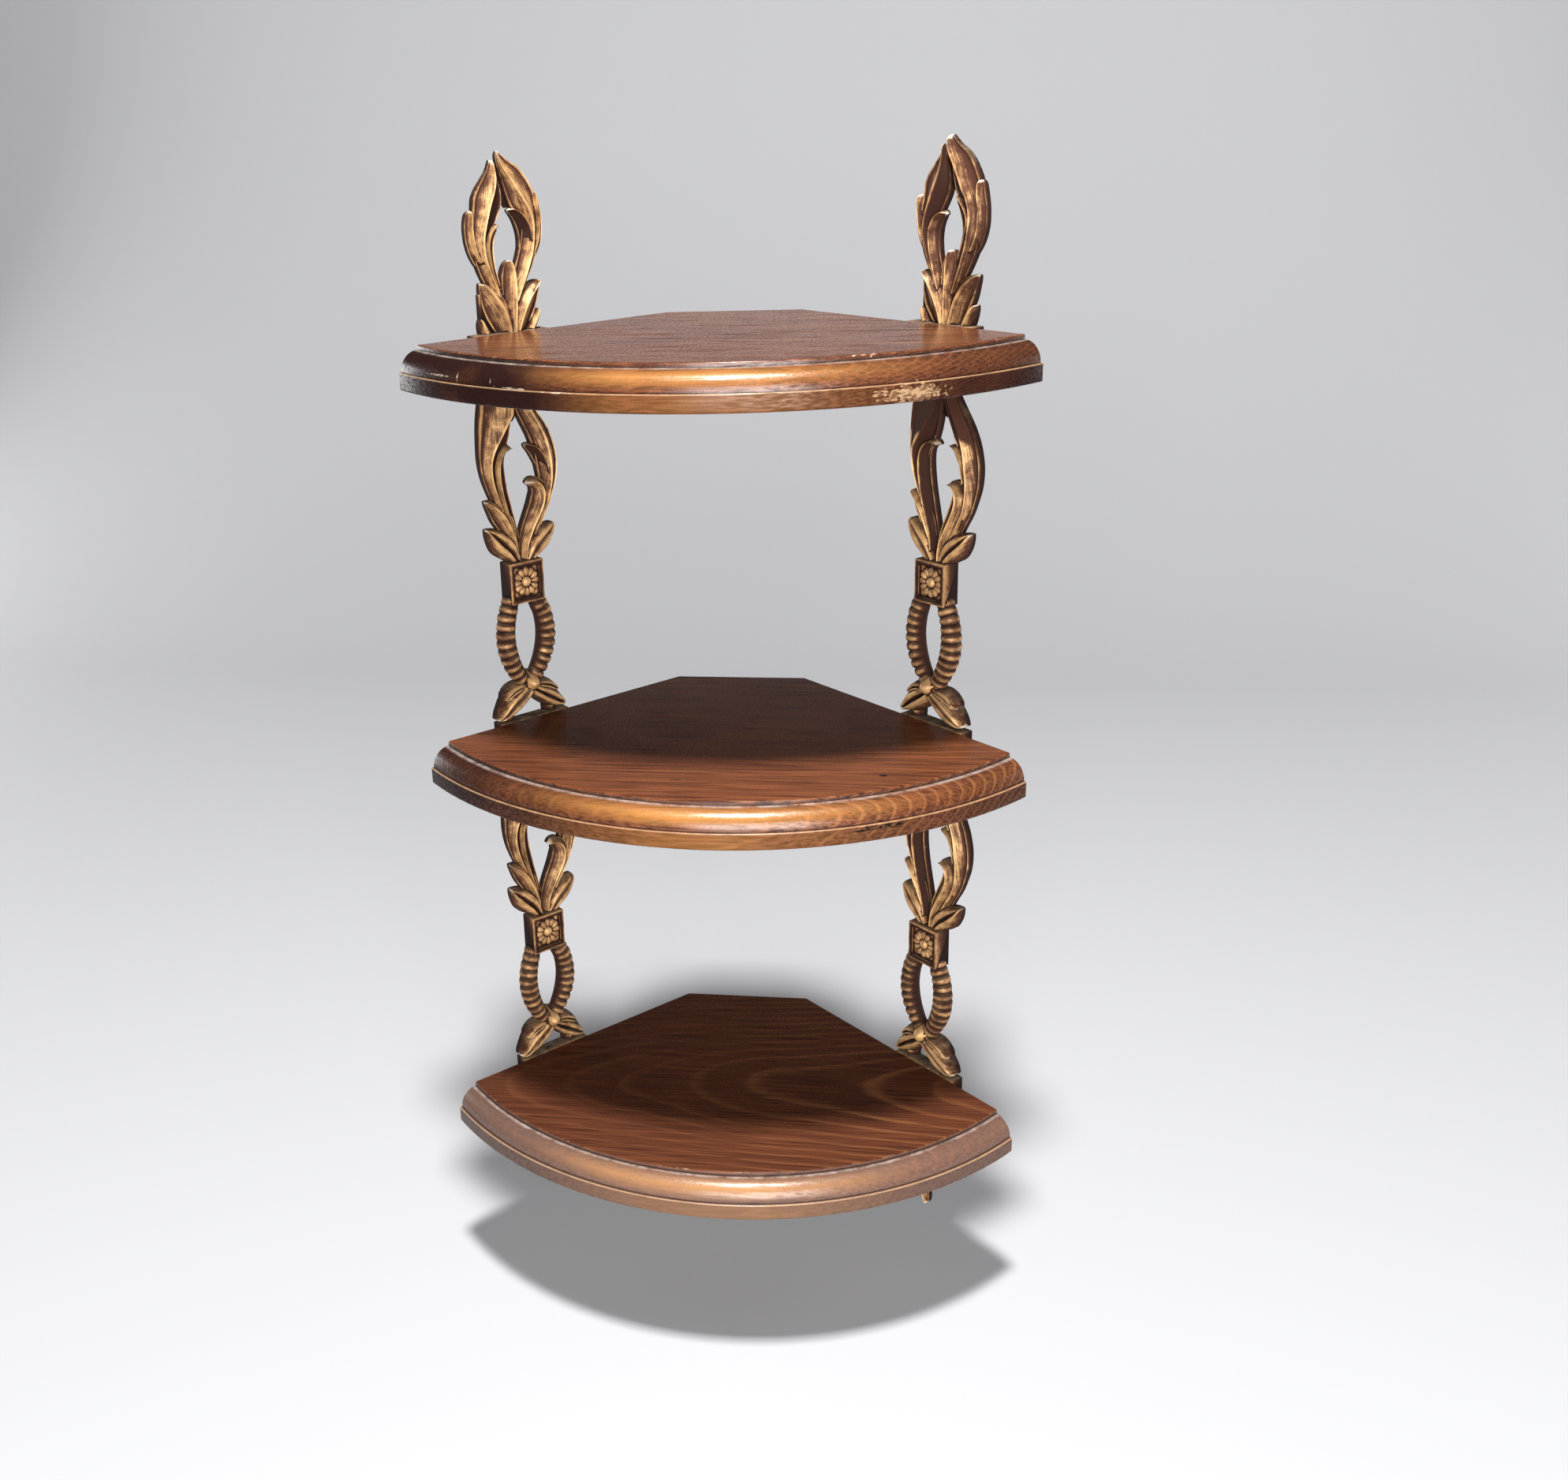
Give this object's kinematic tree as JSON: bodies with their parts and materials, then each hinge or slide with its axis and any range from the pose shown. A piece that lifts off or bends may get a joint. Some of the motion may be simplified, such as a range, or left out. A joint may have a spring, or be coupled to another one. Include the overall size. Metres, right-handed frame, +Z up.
{
  "type": "corner wall shelf",
  "caption": "Corner wall shelf: curved boards with moulded front edges, stacked in tiers on openwork scrolled brackets that lie flat against the walls.",
  "frame": {"origin": "midway between the two hanging slots, in the plane of the brackets' middle lines on the walls, on the boards' symmetry plane", "axes": "+Z up; +Y towards the corner of the room; the curved fronts of the boards face -Y"},
  "size_m": [0.2798, 0.174, 0.5468],
  "materials": {
    "stained_wood": "satin",
    "antique_gold_casting": "antiqued",
    "screw_steel": "plain",
    "hanger_steel": "plain"
  },
  "bodies": {
    "root": {"top_shelf": "stained_wood", "middle_shelf": "stained_wood", "bottom_shelf": "stained_wood", "left_bracket": "antique_gold_casting", "right_bracket": "antique_gold_casting", "left_top_shelf_screw_1": "screw_steel", "left_top_shelf_screw_2": "screw_steel", "left_middle_shelf_screw_1": "screw_steel", "left_middle_shelf_screw_2": "screw_steel", "left_bottom_shelf_screw_1": "screw_steel", "left_bottom_shelf_screw_2": "screw_steel", "right_top_shelf_screw_1": "screw_steel", "right_top_shelf_screw_2": "screw_steel", "right_middle_shelf_screw_1": "screw_steel", "right_middle_shelf_screw_2": "screw_steel", "right_bottom_shelf_screw_1": "screw_steel", "right_bottom_shelf_screw_2": "screw_steel", "left_hanger_plate": "hanger_steel", "right_hanger_plate": "hanger_steel", "left_hanger_pin_1": "hanger_steel", "left_hanger_pin_2": "hanger_steel", "right_hanger_pin_1": "hanger_steel", "right_hanger_pin_2": "hanger_steel"}
  },
  "joints": []
}
